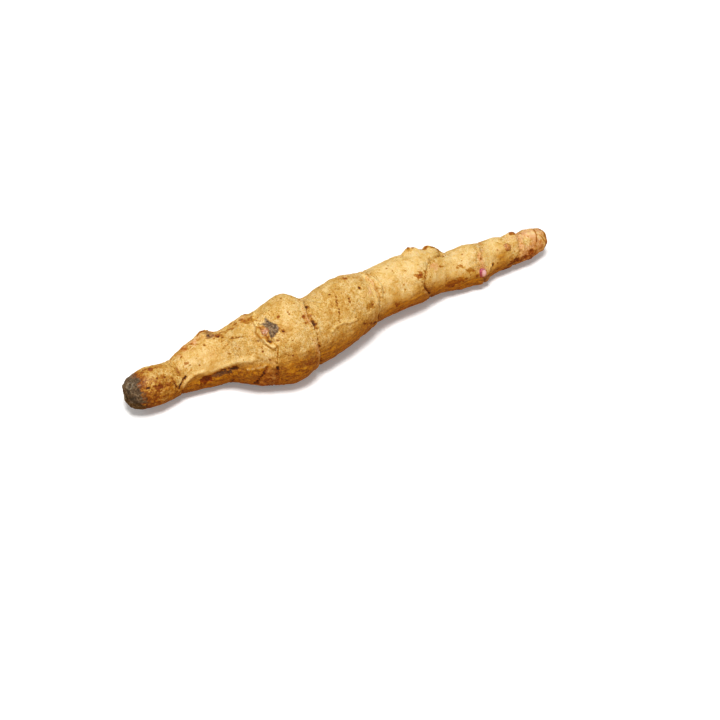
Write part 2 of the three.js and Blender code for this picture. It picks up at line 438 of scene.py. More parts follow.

# %% [markdown]
# ## Folds
#
# Between the neck and the waist a rounded fold runs along the front, and a second, lower lobe starts
# under it. Where a segment bulges over the next node, its skin gathers in short pleats. A fold is a soft
# ridge along a line, with a hollow on its lower side. Its crest is painted pale as a highlight, and the
# skin below it can be painted a deeper gold as shade.


# %% Raise the folds
def fold(places, rise, width, furrow=0.0, pale_and_highlight=0.6, gold_and_shade=0.0):
    """A ridge along a line. The furrow is the depth of the hollow on its lower side. The crest is painted
    pale as a highlight, and the skin below it a deeper gold as shade.
    """
    gap, below = from_line(places)
    uneven = 0.35 + 0.65 * ramp(-0.9, 0.4, lumps(4.0, 76))
    hollow = bell(below - 2.4 * width, 1.8 * width) * bell(gap, 5.0 * width)
    lift(uneven * (rise * bell(gap, width) - furrow * hollow))
    stain("pale_and_highlight", pale_and_highlight * uneven * bell(gap, 0.8 * width) * ramp(-0.7, 0.1, lumps(1.5, 78)))
    stains["mottle"] *= 1.0 - 0.8 * pale_and_highlight * bell(gap, 1.5 * width)
    stain("gold_and_shade", gold_and_shade * ramp(0.4 * width, 4.0 * width, below) * ramp(9.0 * width, 5.0 * width, gap))


BELLY_FOLD = [(-54.5, 66), (-51.9, 71), (-49.5, 71), (-47.3, 68), (-45.5, 64), (-43.6, 63), (-41.6, 64)]
LOBE_EDGE = [(-61.7, 95), (-60.8, 84), (-59.8, 74), (-57.3, 65), (-54.8, 67), (-53.6, 76)]
fold(BELLY_FOLD, rise=0.35, width=0.95, furrow=0.6, pale_and_highlight=1.0, gold_and_shade=0.85)
fold(LOBE_EDGE, rise=0.6, width=0.55, furrow=0.15, pale_and_highlight=1.0, gold_and_shade=0.6)
fold([(6.8, 0), (6.3, 22), (6.0, 42), (5.4, 60)], rise=0.55, width=0.5, pale_and_highlight=0.8)
fold([(6.4, -8), (7.1, 8), (8.3, 24), (9.1, 36), (8.6, 52)], rise=0.7, width=0.5, pale_and_highlight=1.0)
fold([(8.2, 0), (9.2, 14), (9.7, 28), (9.4, 40)], rise=0.4, width=0.35, pale_and_highlight=1.0)
SCAR_FOLD = [(-33.8, -30), (-34.3, -18), (-35.6, -8), (-36.0, 6), (-36.4, 16), (-37.2, 25)]
fold(SCAR_FOLD, rise=0.75, width=0.55, pale_and_highlight=0.9)
fold([(-36.9, 33), (-36.2, 42), (-35.5, 49), (-34.5, 52), (-33.4, 50)], rise=0.85, width=0.45, pale_and_highlight=0.9)
fold([(-33.2, 52), (-33.9, 64), (-34.5, 72), (-35.2, 84)], rise=0.25, width=0.35, pale_and_highlight=0.8)
fold([(52.7, 70), (51.4, 80), (50.1, 90)], rise=0.35, width=0.5, pale_and_highlight=0.7)
fold([(50.6, 8), (49.6, 24), (48.9, 40), (49.2, 60)], rise=0.2, width=0.5, pale_and_highlight=0.5)
fold([(68.4, -10), (67.4, 14), (66.6, 40), (66.2, 60)], rise=0.25, width=0.5, pale_and_highlight=0.7)
fold([(-43, 80), (-41.5, 80), (-39.4, 80), (-38.2, 78)], rise=0.15, width=0.5, pale_and_highlight=0.8)
fold([(-14.3, 62), (-12.2, 58), (-9.7, 58), (-7.2, 64), (-4.3, 66)], rise=0.35, width=0.4, pale_and_highlight=0.9)

# %% [markdown]
# ## Stains, cracks and scrapes
#
# Thin cracks, scraped patches and peeling skin are what make a dug tuber look real. A crack is a
# narrow groove with dark dirt in it. A scrape is a shallow dent with a ragged edge, found by adding
# noise to the distance from its middle. A flap of torn skin stands up a little inside its outline, and
# where the skin has peeled off, the outline is sunk.


# %% Cracks and scrapes
def crack(places, width, depth, dark, ragged=0.0, seed=80):
    """A groove along a line. The width is half its width in mm, and dark is how brown it is."""
    gap, below = from_line(places)
    gap = np.abs(gap + ragged * lumps(0.8, seed))
    lift(-depth * bell(gap, width))
    stain("brown", dark * bell(gap, width * 1.15) * ramp(-0.75, 0.1, lumps(2.4, seed + 5)))


def scrape(x, round_degrees, half_along, half_round, colours, depth, seed, ragged=0.45):
    """A ragged oval patch. The colours say how strong each stain is inside it."""
    lengthwise, crosswise = from_place(x, round_degrees)
    size = np.hypot(lengthwise / half_along, crosswise / half_round)
    size += ragged * lumps(1.1, seed) + 0.5 * ragged * lumps(0.5, seed + 1)
    inside = ramp(1.15, 0.8, size)
    rim = 0.35 * depth * bell(size - 1.2, 0.14)
    lift(-depth * inside + rim + 0.3 * depth * inside * lumps(0.6, seed))
    for name, amount in colours.items():
        stain(name, amount * inside)


# %% The neck's torn flap
flap = within([(-62.9, 42), (-60.7, 54), (-62.0, 70), (-63.2, 84), (-63.9, 56)], 0.45, 98)
lift(0.2 * flap)
stain("pale_and_highlight", 0.7 * flap)
crack([(-60.0, 61), (-61.3, 72), (-63.0, 86)], 0.36, 0.5, 1.0, 0.12)
crack([(-64.1, 46), (-64.2, 58), (-63.8, 72), (-63.4, 84)], 0.28, 0.3, 0.7, 0.35)
crack([(-63.4, 40), (-62.0, 46), (-60.4, 52)], 0.25, 0.15, 0.4, 0.5, 83)
crack([(-62.6, 6), (-62.2, 20), (-62.0, 34)], 0.3, 0.12, 0.5, 0.5, 82)
for x, angle, width, amount in ((-66.5, 62, 3.2, 0.8), (57.2, 56, 2.4, 0.55), (-57.6, 88, 2.6, 0.7)):
    stain("gold_and_shade", amount * bell(near(x, angle), width))


# %% Cracks, from the stem end to the tip
crack([(-48.4, -20), (-47.0, -12), (-45.3, -8), (-44.1, 8), (-42.6, 17), (-41.0, 20)], 0.36, 0.2, 0.75, 0.5)
crack([(-35.8, 37), (-35.2, 43), (-34.3, 44)], 0.4, 0.4, 0.8, 0.35)
crack([(-36.6, 46), (-35.9, 53), (-34.9, 56)], 0.3, 0.15, 0.5, 0.2, 88)
crack([(-33.7, 54), (-34.4, 66), (-35.1, 78)], 0.22, 0.15, 0.6, 0.15, 92)
crack([(-18.7, 4), (-19.5, 20), (-20.0, 28), (-19.5, 40), (-19.4, 46)], 0.7, 0.15, 0.85, 0.6, 84)
crack([(-19.9, 54), (-20.0, 66), (-19.8, 80)], 0.45, 0.15, 0.62, 0.5, 86)
crack([(-8.0, 14), (-9.3, 30), (-9.7, 42), (-11.0, 52)], 0.26, 0.12, 0.75, 0.45)
crack([(25.0, 66), (25.5, 78), (26.4, 90), (27.6, 102)], 0.34, 0.4, 1.0, 0.15)
crack([(12.5, 112), (16, 114), (21, 117), (26.4, 122)], 0.8, 0.12, 0.5, 0.9)
crack([(6.4, -6), (6.9, 14), (7.1, 34), (6.4, 52)], 0.5, 0.5, 0.35, 0.3, 95)
crack([(-1.7, 82), (2, 96), (5.9, 108)], 0.4, 0.12, 0.7, 0.7, 89)
peel = within([(-38.2, 82), (-35.2, 86), (-35.4, 98), (-34.3, 112), (-34.3, 134), (-41.1, 128)], 0.3, 90)
lift(-0.12 * peel)
stain("rust", 0.4 * peel * ramp(-0.6, 0.3, lumps(1.6, 93)))
stain("pink", 0.4 * peel)
stain("brown", 0.35 * peel * ramp(-0.3, 0.4, lumps(0.9, 94)))
crack([(-41.4, 118), (-40, 100), (-38.2, 82)], 0.4, 0.25, 0.9, 0.3)
crack([(-35.2, 84), (-35.5, 92), (-35.4, 98), (-34.3, 110)], 0.45, 0.25, 1.0, 0.4)
crack([(-52, 84), (-49.6, 80), (-47.2, 76), (-45.4, 74)], 0.3, 0.2, 0.7, 0.4, 91)

# %% Scraped and stained patches
# (mm along, degrees round, half length, half width, stains, depth, how ragged)
PATCHES = [
    (-53.8, 92, 2.0, 1.8, {"rust": 1.0, "brown": 0.35}, 0.25, 0.5),
    (-71.9, 76, 1.9, 1.5, {"brown": 0.5}, 0.1, 0.8),
    (-69.9, 56, 2.0, 1.2, {"rust": 0.7, "brown": 0.35}, 0.1, 0.8),
    (-72.8, 46, 0.5, 0.4, {"brown": 0.8}, 0.1, 0.5),
    (-67.4, 30, 1.4, 0.8, {"rust": 0.5}, 0.05, 0.8),
    (-50.4, 90, 1.8, 0.9, {"brown": 0.5, "grey": 0.5}, 0.12, 0.7),
    (-48.2, 84, 2.3, 0.8, {"brown": 0.6, "grey": 0.5}, 0.12, 0.7),
    (-46.0, 78, 1.2, 0.5, {"brown": 0.8}, 0.12, 0.5),
    (-37.2, -8, 2.0, 1.6, {"rust": 0.6}, 0.1, 0.7),
    (-24.2, 93, 2.4, 1.4, {"brown": 0.4, "grey": 0.2}, 0.05, 0.8),
    (24.6, 46, 2.0, 1.3, {"pink": 0.5, "rust": 0.5, "brown": 0.3}, 0.1, 1.0),
    (14.5, 92, 1.3, 0.8, {"rust": 0.5, "brown": 0.3}, 0.06, 0.7),
    (31.7, 38, 1.8, 1.3, {"pink": 0.6}, 0.03, 0.8),
    (34.2, 42, 0.7, 0.5, {"rust": 0.9}, 0.03, 0.8),
    (41.0, 44, 1.0, 0.8, {"rust": 0.7}, 0.02, 0.9),
    (44.2, 62, 1.6, 0.9, {"rust": 0.6}, 0.02, 0.9),
    (40.4, 84, 1.8, 0.9, {"rust": 0.6}, 0.02, 0.9),
    (37.1, 96, 2.6, 1.5, {"rust": 0.5, "brown": 0.25}, 0.04, 0.8),
    (61.9, 98, 2.2, 1.0, {"brown": 0.5, "rust": 0.4}, 0.1, 0.8),
    (65.9, 98, 2.2, 1.1, {"rust": 0.7, "brown": 0.3}, 0.12, 0.8),
    (-58.2, -34, 3.0, 2.4, {"rust": 0.4}, 0.04, 0.9),
    (37.0, 88, 1.5, 1.4, {"brown": 0.3}, 0.04, 0.7),
    (2.6, 58, 1.5, 1.2, {"gold_and_shade": 0.5, "rust": 0.25}, 0.2, 0.9),
]
print("patches:", len(PATCHES))
for seed, (x, angle, long, wide, colours, depth, ragged) in enumerate(PATCHES):
    scrape(x, angle, long, wide, colours, depth, 400 + 2 * seed, ragged)

# %% [markdown]
# ## The branch scar
#
# Beside the third node a side branch broke off. It left a grey-brown, corky patch with ragged corners.
# A small orange bud sits at its edge, and the skin is drawn into folds all round it.

# %% Sink the scar and gather the skin
SCAR = [(-35.4, 8), (-33.7, 9), (-32.6, 0), (-32.5, 12), (-31.6, 18), (-30.8, 24), (-31.6, 31)]
SCAR += [(-33.4, 37), (-34.6, 39), (-34.6, 31), (-34.1, 24), (-34.6, 16)]
inside = within(SCAR, 0.35, 120)
stain("grey", 0.82 * inside)
stain("brown", 0.6 * inside * ramp(-0.5, 0.3, crumbly(0.9, 176)))
lift(-0.22 * inside)
lift(0.14 * inside * crumbly(0.9, 122))
lengthwise, crosswise = from_place(-34.2, 24.0)
spread = np.hypot(lengthwise, crosswise)
spokes = np.sin(9 * np.arctan2(crosswise, lengthwise) + 3 * lumps(3.0, 124))
lift(0.13 * spokes * bell(spread - 4.6, 1.6))
spoke_rust = 0.35 * ramp(0.1, 0.7, spokes) * bell(spread - 4.4, 1.6)
stain("rust", spoke_rust * ramp(-0.2, 0.5, lumps(1.4, 126)))
stain("mottle", bell(near(-31.0, 42), 4.0))
collar = near(-35.5, 25.0) + 0.35 * lumps(1.4, 127)
collar = bell(collar - 1.9, 0.45) * ramp(-33.6, -34.8, along)
lift(0.35 * collar)
stain("pink", 0.4 * collar)
stain("rust", 0.6 * collar)

# %% [markdown]
# ## Mounds, dips and ledges
#
# The upper edge of the tuber rises and falls between the nodes, and some buds sit on mounds. Old leaf
# bases stand up as ledges: a slope that ends in a sudden step. The mounds are soft bells, and a dip is
# a mound that goes down.


# %% Mounds and ledges
def mound(x, round_degrees, half_along, half_round, rise):
    lengthwise, crosswise = from_place(x, round_degrees)
    lift(rise * np.exp(-((lengthwise / half_along) ** 2) - (crosswise / half_round) ** 2))


def ledge(x, round_degrees, run, half_round, rise):
    """A step at x. The slope runs up to it, or away from it where the run is negative."""
    lengthwise, crosswise = from_place(x, round_degrees)
    before = math.copysign(1.0, run) * (lengthwise + 0.25 * lumps(1.2, 130))
    climb = ramp(-abs(run), 0.0, before) * ramp(0.45, 0.0, before)
    across = bell(crosswise, half_round)
    lift(rise * climb * across)
    stain("brown", 0.5 * bell(before - 0.3, 0.35) * across)
    stain("pink", 0.35 * bell(before + 0.4, 1.0) * across)


# %% Where the upper edge and the bud seats rise and fall
# (mm along, degrees round, half length, half width, rise)
MOUNDS = [
    (-48.6, -32, 2.0, 4.0, 0.3),
    (-43.0, -32, 3.4, 6.0, -0.8),
    (-32.0, -32, 2.2, 5.0, -0.45),
    (-22.6, -30, 3.4, 7.0, 1.15),
    (-16.2, -30, 3.4, 6.0, -1.15),
    (-1.5, -26, 6.5, 8.0, 0.85),
    (4.2, 38, 2.4, 3.6, 0.4),
    (24.8, -38, 1.6, 4.0, -0.8),
    (33.1, -36, 1.5, 4.0, -1.0),
    (37.4, -34, 1.9, 4.0, 0.45),
    (40.6, -34, 1.3, 4.0, -1.3),
    (27.2, -40, 0.55, 1.6, 0.7),
    (29.9, -36, 1.1, 3.0, 0.4),
    (31.2, -36, 0.9, 3.0, -0.35),
    (37.3, -14, 1.2, 2.4, -0.3),
    (47.8, -34, 2.6, 5.0, 0.5),
    (49.6, 96, 2.4, 3.4, 0.55),
    (56.3, -32, 3.0, 4.0, 0.3),
    (62.8, -26, 1.6, 3.0, -0.5),
    (65.9, -22, 1.0, 1.6, 0.3),
    (68.2, -28, 1.2, 3.0, -0.5),
    (72.5, -20, 2.5, 4.0, 0.2),
]
for place in MOUNDS:
    mound(*place)
# (mm along, degrees round, run, half width, rise)
LEDGES = [
    (-46.9, -34, 2.4, 3.0, 0.35),
    (27.8, -40, -5.0, 3.4, 1.15),
    (-18.6, 262, 4.0, 3.0, 0.5),
    (8.5, 232, 4.0, 3.0, 0.6),
    (52.0, 262, 3.0, 2.4, 0.45),
]
for place in LEDGES:
    ledge(*place)
print("mounds and dips:", len(MOUNDS), " ledges:", len(LEDGES))

# %% Rubbed tops
scrape(-47.6, -24, 1.5, 1.9, {"grey": 0.5, "brown": 0.3}, 0.06, 136, ragged=0.8)
scrape(33.4, -32, 1.2, 1.5, {"brown": 0.3, "rust": 0.7}, 0.08, 132, ragged=0.6)
scrape(36.6, -34, 1.9, 1.2, {"brown": 0.3, "rust": 0.8}, 0.05, 134, ragged=0.6)
scrape(65.9, -22, 1.3, 1.2, {"brown": 0.2, "rust": 1.0}, 0.04, 138, ragged=0.6)
KNOBS_START, KNOBS_END = 26.5, 39.5
knobs = ramp(KNOBS_START - 1, KNOBS_START + 1, along) * ramp(KNOBS_END + 1, KNOBS_END - 1, along)
knobs *= bell(signed_round + 37 - 1.2 * (along - 26), 7)  # only along their slanting crest
stain("rust", knobs * ramp(-0.5, 0.2, lumps(1.2, 166)))

# %% [markdown]
# ## The corky stem end
#
# The stem end died back to grey cork: a face that is a little hollow, with dark, stringy fibres and a
# small ring where the thin runner broke off. Brown stain spreads from the cork up the neck and leaves
# pale streaks. Every edge here is a ramp along the tuber with noise added to the place, which frays it.

# %% Cork
CORK_LINE = -74.6
SCORCH_START, SCORCH_FULL = -56.0, -73.0
RUNNER_RING = 1.15  # radius, mm
ragged = 1.3 * lumps(3.0, 140) + 0.9 * lumps(1.1, 141) + 1.2 * noise(lengthwise_grain, 0.7, 144)
cork = ramp(CORK_LINE + 1.2, CORK_LINE - 1.6, along + ragged)
scorch = ramp(SCORCH_START, SCORCH_FULL, along + 2.0 * ragged)
stain("grey", cork)
stain("brown", 0.42 * scorch * ramp(0.1, 0.4, crumbly(2.0, 146)))
stain("rust", 0.35 * scorch * ramp(-0.1, 0.4, rough(lengthwise_grain, 1.0, 171)))
stain("gold_and_shade", 0.3 * scorch)
stain("pale_and_highlight", 0.7 * scorch * (1.0 - cork) * ramp(-0.1, -0.5, crumbly(2.0, 168)))
stain("brown", 0.55 * ramp(CORK_LINE + 4.5, CORK_LINE, along + ragged))
fibres = np.sin(np.radians(signed_round) * 31 + 6.0 * lumps(2.0, 142))
face = ramp(-0.9, -1.35, tilt[:, None] + 0.22 * lumps(2.2, 158))
lift(cork * (0.14 * crumbly(1.4, 143) + 0.06 * fibres) - 0.5 * face - 0.25 * cork)
stain("brown", cork * ramp(-0.1, 0.6, lumps(2.4, 159)))
stub = np.linalg.norm(skin - on_skin(-77.4, 6), axis=-1) + 0.2 * lumps(0.9, 147)
lift(0.3 * bell(stub - RUNNER_RING, 0.35) - 0.35 * bell(stub, 0.7))
# Painted highlight: the crest of the runner's ring is painted pale.
stain("pale_and_highlight", 0.55 * bell(stub - RUNNER_RING, 0.3) * ramp(-0.7, 0.0, lumps(1.6, 169)))
worn = np.linalg.norm(skin - on_skin(-79.2, -140), axis=-1) + 0.4 * lumps(0.8, 164)
stain("pale_and_highlight", 0.8 * cork * bell(worn, 0.9))
lift(scorch * (0.12 * crumbly(2.2, 145) + 0.06 * rough(lengthwise_grain, 0.8, 148)))
print("cork covers", f"{cork.mean():.1%}", "of the net")

# %% [markdown]
# ## Bloom on the upper edge and the back
#
# Light turns the skin of a tuber pink and brown. Here that is a thin veil on the upper edge above the
# neck, a dusky, rusty stretch behind the branch scar, and a band of fine, pink finger-print wrinkles on
# the shoulder of the thick middle joint.

# %% Veil, dusk and shoulder
veil = bell(along + 55.5, 6.0) * bell(signed_round + 22, 22.0)
stain("pink", veil * ramp(-0.4, 0.4, lumps(2.2, 172)))
stain("rust", 0.7 * veil * ramp(0.0, 0.4, crumbly(1.6, 174)))
dusk = ramp(-62, -52, along) * ramp(-30, -38, along)
dusk *= ramp(14, -24, signed_round + 10 * lumps(5.0, 149)) * ramp(-95, -50, signed_round)
stain("pink", 0.5 * dusk * ramp(-0.4, 0.5, lumps(2.6, 155)))
stain("rust", dusk * ramp(-0.1, 0.35, crumbly(1.4, 161)) * ramp(-0.5, 0.2, lumps(4.0, 162)))
shoulder = bell(along - 1.5, 6.0) * ramp(16, -10, signed_round) * ramp(-70, -45, signed_round)
prints = np.sin(2 * math.pi * (signed_round / 5.5 + 0.14 * along + 1.1 * lumps(4.0, 163)))
lift(0.06 * shoulder * prints)
stain("pink", 0.55 * shoulder * ramp(-0.6, 0.6, prints))
stain("pink", 0.6 * bell(near(4.6, 34), 2.6) * ramp(-0.5, 0.4, lumps(1.5, 167)))

# %% [markdown]
# ## The growing tip
#
# The tip is the youngest part. It is flushed with pink and wrapped in small scale leaves, each with a
# thin raised edge. The edge of a scale is a sudden step, and a cosine of the place round the tuber
# leans it, so that the scales overlap like the leaves of a bud.

# %% Growing tip
FLUSH_START, FLUSH_FULL = 58.0, 70.0
# painted highlights on the tip, pale and ringed with pink: (mm along, degrees round, half width)
PAINTED_HIGHLIGHTS = [(70.8, 8, 0.9), (72.6, 12, 1.1), (74.6, 16, 1.0), (73.4, 102, 1.1), (75.4, 104, 1.0)]
# (mm along, how far the edge leans, the side where it is furthest along)
SCALE_LEAVES = [(69.0, 3.2, 190), (71.6, 2.6, 330), (74.6, 1.6, 110)]
LEAF_SCAR = 1.2  # radius, mm
CAP_EDGE = 77.6  # mm along, where a narrow rust band rings the tip
flush = ramp(FLUSH_START, FLUSH_FULL, along + 2.5 * lumps(4.0, 150))
stain("pink", flush * ramp(-0.8, 0.3, lumps(3.0, 156)))
stain("pale_and_highlight", 0.6 * flush * ramp(0.1, 0.5, lumps(2.4, 157)))
stain("rust", 0.4 * flush * ramp(0.1, 0.6, lumps(1.6, 152)))
stain("pink", 0.8 * bell(thin - 0.5, 1.6) * ramp(-0.5, 0.4, lumps(3.0, 151)))
# Paint the highlights: pale, less mottled, and pink round them.
for x, angle, width in PAINTED_HIGHLIGHTS:
    stain("pale_and_highlight", 0.75 * bell(near(x, angle), width))
    stains["mottle"] *= 1.0 - bell(near(x, angle), 2.0 * width)
    stain("pink", bell(near(x, angle), 2.2 * width))
from_cap = along + 0.01 * np.abs(signed_round - 30) + 0.5 * lumps(1.4, 165) - CAP_EDGE
stain("rust", 0.8 * bell(from_cap, 0.5))
stain("brown", 0.5 * flush * ramp(80, 105, signed_round) * ramp(0.0, 0.5, crumbly(1.6, 170)))
lift(0.12 * flush * crumbly(1.6, 153))
for start, lean, turned in SCALE_LEAVES:
    edge = start + lean * np.cos(np.radians(signed_round - turned)) + 0.3 * lumps(1.5, 154)
    away = along - edge
    present = ramp(-0.3, 0.5, np.cos(np.radians(signed_round - turned)))
    lift(0.24 * present * ramp(0.25, -0.1, away) * bell(np.minimum(away, 0), 2.2))
    stain("rust", present * bell(away - 0.2, 0.4))
ring_scar = near(69.1, 80)
lift(0.22 * bell(ring_scar - LEAF_SCAR, 0.35) - 0.3 * bell(ring_scar, 0.8))
stain("rust", bell(ring_scar, 0.9))
stain("brown", 0.5 * bell(ring_scar - 1.0, 0.4))

# %% [markdown]
# ## Pores, and what the far side has
#
# The skin breathes through pores, which show as tiny dark dents. A few are large enough to see from
# afar and have their own places. The rest are scattered by a seeded dice, with a few more scrapes and
# short cracks, so that the back and the underside are as lively as the front.

# %% Pores and scattered marks
# (mm along, degrees round, width)
PORES = [(1.2, 20, 0.5), (-4.3, 28, 0.45), (-4.5, 62, 0.36), (-30.5, 34, 0.45), (-31.2, 27, 0.35)]
PORES += [(-33, 44, 0.4), (53.6, 72, 0.55), (52.1, 78, 0.35), (55.6, 102, 0.45), (49.2, 40, 0.4)]
PORES += [(-50.7, 4, 0.4), (-45.9, 44, 0.35)]
SMALL_PORES = 110
HIDDEN_SCRAPES = 18
HIDDEN_CRACKS = 7
dice = np.random.default_rng(160)
for k in range(SMALL_PORES):
    PORES.append((dice.uniform(-72, 70), dice.uniform(-180, 180), dice.uniform(0.16, 0.32)))
for x, angle, size in PORES:
    reach_of_pore = near(x, angle)
    lift(-0.5 * size * bell(reach_of_pore, size))
    stain("brown", min(1.0, 0.2 + 2.2 * (size - 0.14)) * bell(reach_of_pore, 1.2 * size))
for k in range(HIDDEN_SCRAPES):
    x, angle = dice.uniform(-68, 64), dice.uniform(120, 310)
    long, wide, deep = dice.uniform(0.8, 2.6), dice.uniform(0.6, 1.4), dice.uniform(0.25, 0.6)
    scrape(x, angle, long, wide, {"brown": deep, "rust": 0.6 * deep}, 0.08, 170 + 2 * k, ragged=0.7)
for k in range(HIDDEN_CRACKS):
    x, angle = dice.uniform(-60, 60), dice.uniform(130, 300)
    run, climb = dice.uniform(3, 8), dice.uniform(-14, 14)
    places = [(x, angle), (x + run / 2, angle + climb), (x + run, angle + climb / 2)]
    crack(places, 0.25, 0.15, 0.7, 0.5, 210 + k)
print("pores:", len(PORES), " height, mm:", height.min().round(2), "to", height.max().round(2))

# %% [markdown]
# ## Making the mesh
#
# The net moves out along its own normals. Wherever it would sink into the table it is pressed flat.
# Then the net becomes one closed mesh: squares between the rows, and a fan of triangles at each pole.
# The stains are stored on the points as attributes.


# %% Build the tuber
def with_poles(values):
    """The values of a net as one list. The first row is drawn into one point, and so is the last."""
    between = values[1:-1].reshape(-1, *values.shape[2:])
    return np.concatenate([between, values[[0, -1]].mean(axis=1)])


def closed_net(row_count, columns):
    """The faces of a net of this many rows that ends in a point at both ends."""
    faces = []
    start, end = row_count * columns, row_count * columns + 1
    for column in range(columns):
        beside = (column + 1) % columns
        for here in range(0, start - columns, columns):
            above = here + columns
            faces.append((here + column, above + column, above + beside, here + beside))
        faces.append((start, column, beside))
        last = start - columns
        faces.append((end, last + beside, last + column))
    return faces


def mesh_piece(name, net, masks):
    """A smooth mesh object in metres, with one number per point for each mask."""
    rows_between, columns = len(net) - 2, net.shape[1]
    mesh = bpy.data.meshes.new(name)
    mesh.from_pydata((with_poles(net) / PER_METRE).tolist(), [], closed_net(rows_between, columns))
    for label, values in masks.items():
        layer = mesh.attributes.new(label, "FLOAT", "POINT")
        layer.data.foreach_set("value", with_poles(values).astype(np.float32))
    mesh.shade_smooth()
    mesh.validate()
    piece = bpy.data.objects.new(name, mesh)
    bpy.context.scene.collection.objects.link(piece)
    return piece


net = skin + normals * height[..., None]
net[..., 2] = np.maximum(net[..., 2], 0.0)
tuber = mesh_piece("artichoke_skin", net, stains)
print("tuber skin:", len(tuber.data.polygons), "faces")

# %% [markdown]
# ## Buds
#
# A bud is a small egg that leans towards the growing tip. Its root is sunk in the flesh, so only the
# dome shows. Scale leaves wrap it, and each one ends in a thin step with a brown edge. Every bud is a
# net that closes at both poles, like the tuber itself.

# %% Grow the buds
BUD_COLUMNS = 40
BUD_ROWS = 22
# name: place along, degrees round, half size along, half size round, rise, pink, brown
BUDS = {
    "orange": (-35.5, 25.0, 1.5, 1.4, 0.6, 0.05, 0.75),
    "pink": (48.4, 80.0, 1.0, 1.35, 0.9, 1.0, 0.0),
    "dark": (50.6, 112.0, 1.2, 1.5, 0.9, 0.1, 0.9),
    "ochre": (60.6, 34.0, 1.2, 1.1, 0.6, 0.0, 0.45),
    "back_neck": (-60.5, 222.0, 1.2, 1.3, 0.8, 0.2, 0.5),
    "back_belly": (-33.0, 226.0, 1.7, 1.8, 1.2, 0.5, 0.3),
    "back_waist": (-18.4, 262.0, 1.5, 1.6, 1.0, 0.8, 0.1),
    "back_middle": (8.2, 232.0, 1.5, 1.6, 1.0, 0.3, 0.5),
    "under_slant": (30.5, 208.0, 1.3, 1.4, 0.7, 0.2, 0.6),
    "back_thin": (52.4, 262.0, 1.4, 1.4, 1.0, 0.9, 0.1),
    "back_tip": (67.6, 232.0, 1.2, 1.3, 0.8, 0.6, 0.3),
}
BUD_LEAN = math.radians(24)
BUD_ROOT = 1.8  # how deep the root goes, mm
# How far up each scale ends, and the side that it ends on, both in radians.
BUD_SCALES = [(1.75, 0.6), (2.15, 2.9), (2.5, 4.9)]


def bud_net(x, angle, half_along, half_round, rise, seed):
    """The points of one bud, and two masks: how near its scales' edges, and how high on the bud, which marks
    its top for the painted highlight.
    """
    row = np.abs(along[:, 0] - x).argmin()
    column = int(round(angle / 360.0 * COLUMNS)) % COLUMNS
    foot = net[row, column]
    straight = normals[row, column]
    to_tip = net[row + 3, column] - net[row - 3, column]
    to_tip -= straight * (to_tip @ straight)
    to_tip /= np.linalg.norm(to_tip)
    sideways = np.cross(straight, to_tip)
    axis = straight * math.cos(BUD_LEAN) + to_tip * math.sin(BUD_LEAN)

    up = np.linspace(0.0, math.pi, BUD_ROWS)[:, None]
    turned = np.linspace(0.0, 2 * math.pi, BUD_COLUMNS, endpoint=False)[None, :]
    thick = np.where(up < math.pi / 2, np.sin(up) ** 0.3, np.sin(up) ** 0.8) * np.ones_like(turned)
    edges = np.zeros_like(thick)
    for level, way in BUD_SCALES:
        edge = up - level - 0.28 * np.cos(turned - way)
        thick *= 1.0 + 0.07 * ramp(0.1, -0.05, edge)
        edges = np.maximum(edges, bell(edge - 0.05, 0.08) * ramp(-0.6, 0.4, np.cos(turned - way)))
    climb = np.where(up > math.pi / 2, -rise * np.cos(up), -BUD_ROOT * np.cos(up))
    shape = foot - 0.25 * rise * straight + axis * (climb * np.ones_like(turned))[..., None]
    shape = shape + to_tip * (half_along * thick * np.cos(turned))[..., None]
    shape = shape + sideways * (half_round * thick * np.sin(turned))[..., None]
    shape = shape + 0.14 * rough(shape, 0.9, seed)[..., None] * straight
    shape[..., 2] = np.maximum(shape[..., 2], 0.0)
    return shape, edges, ramp(1.5, 2.9, up) * np.ones_like(turned)


buds = []
for seed, (name, (x, angle, half_along, half_round, rise, pink, brown)) in enumerate(BUDS.items(), 300):
    shape, edges, lit_top = bud_net(x, angle, half_along, half_round, rise, seed)
    # Painted highlight: towards its lit top a bud is painted less brown and less pink, and a pink bud pale.
    masks = {
        "brown": np.clip(brown * (1.0 - 0.5 * lit_top) + 0.4 * edges, 0, 1),
        "pale_and_highlight": 0.85 * pink * ramp(0.25, 0.75, lit_top),
        "pink": pink * (1.0 - 0.35 * lit_top),
    }
    buds.append(mesh_piece(f"bud_{name}", shape, masks))
print("buds:", len(buds))

# %% [markdown]
# ## Small helpers for materials
#
# Each material is a tree of nodes. These helpers add one node, set its options, and set or link its
# inputs. Colours are written as they look on a screen, from 0 to 255, and turned into light values.

# %% Node helpers
FULL = 255.0  # the brightest that a screen colour can be


def screen(red, green, blue):
    """A colour as seen on a screen, as the light values that shaders use."""
    share = [channel / FULL for channel in (red, green, blue)]
    return (*[s / 12.92 if s <= 0.04045 else ((s + 0.055) / 1.055) ** 2.4 for s in share], 1.0)


def place_node(tree, kind, options=(), **inputs):
    """Adds a node. The input Base_Color fills the socket Base Color, and nth2 fills the third socket."""
    made = tree.nodes.new(kind)
    for option, value in dict(options).items():
        setattr(made, option, value)
    for name, value in inputs.items():
        numbered = name.startswith("nth")
        socket = made.inputs[int(name[3:]) if numbered else name.replace("_", " ")]
        if isinstance(value, bpy.types.NodeSocket):
            tree.links.new(value, socket)
        else:
            socket.default_value = value
    return made


def sums(tree, operation, first, second=0.0, third=0.0):
    """One step of arithmetic. MULTIPLY_ADD is first times second, plus third."""
    made = place_node(tree, "ShaderNodeMath", {"operation": operation}, nth0=first, nth1=second, nth2=third)
    return made.outputs[0]


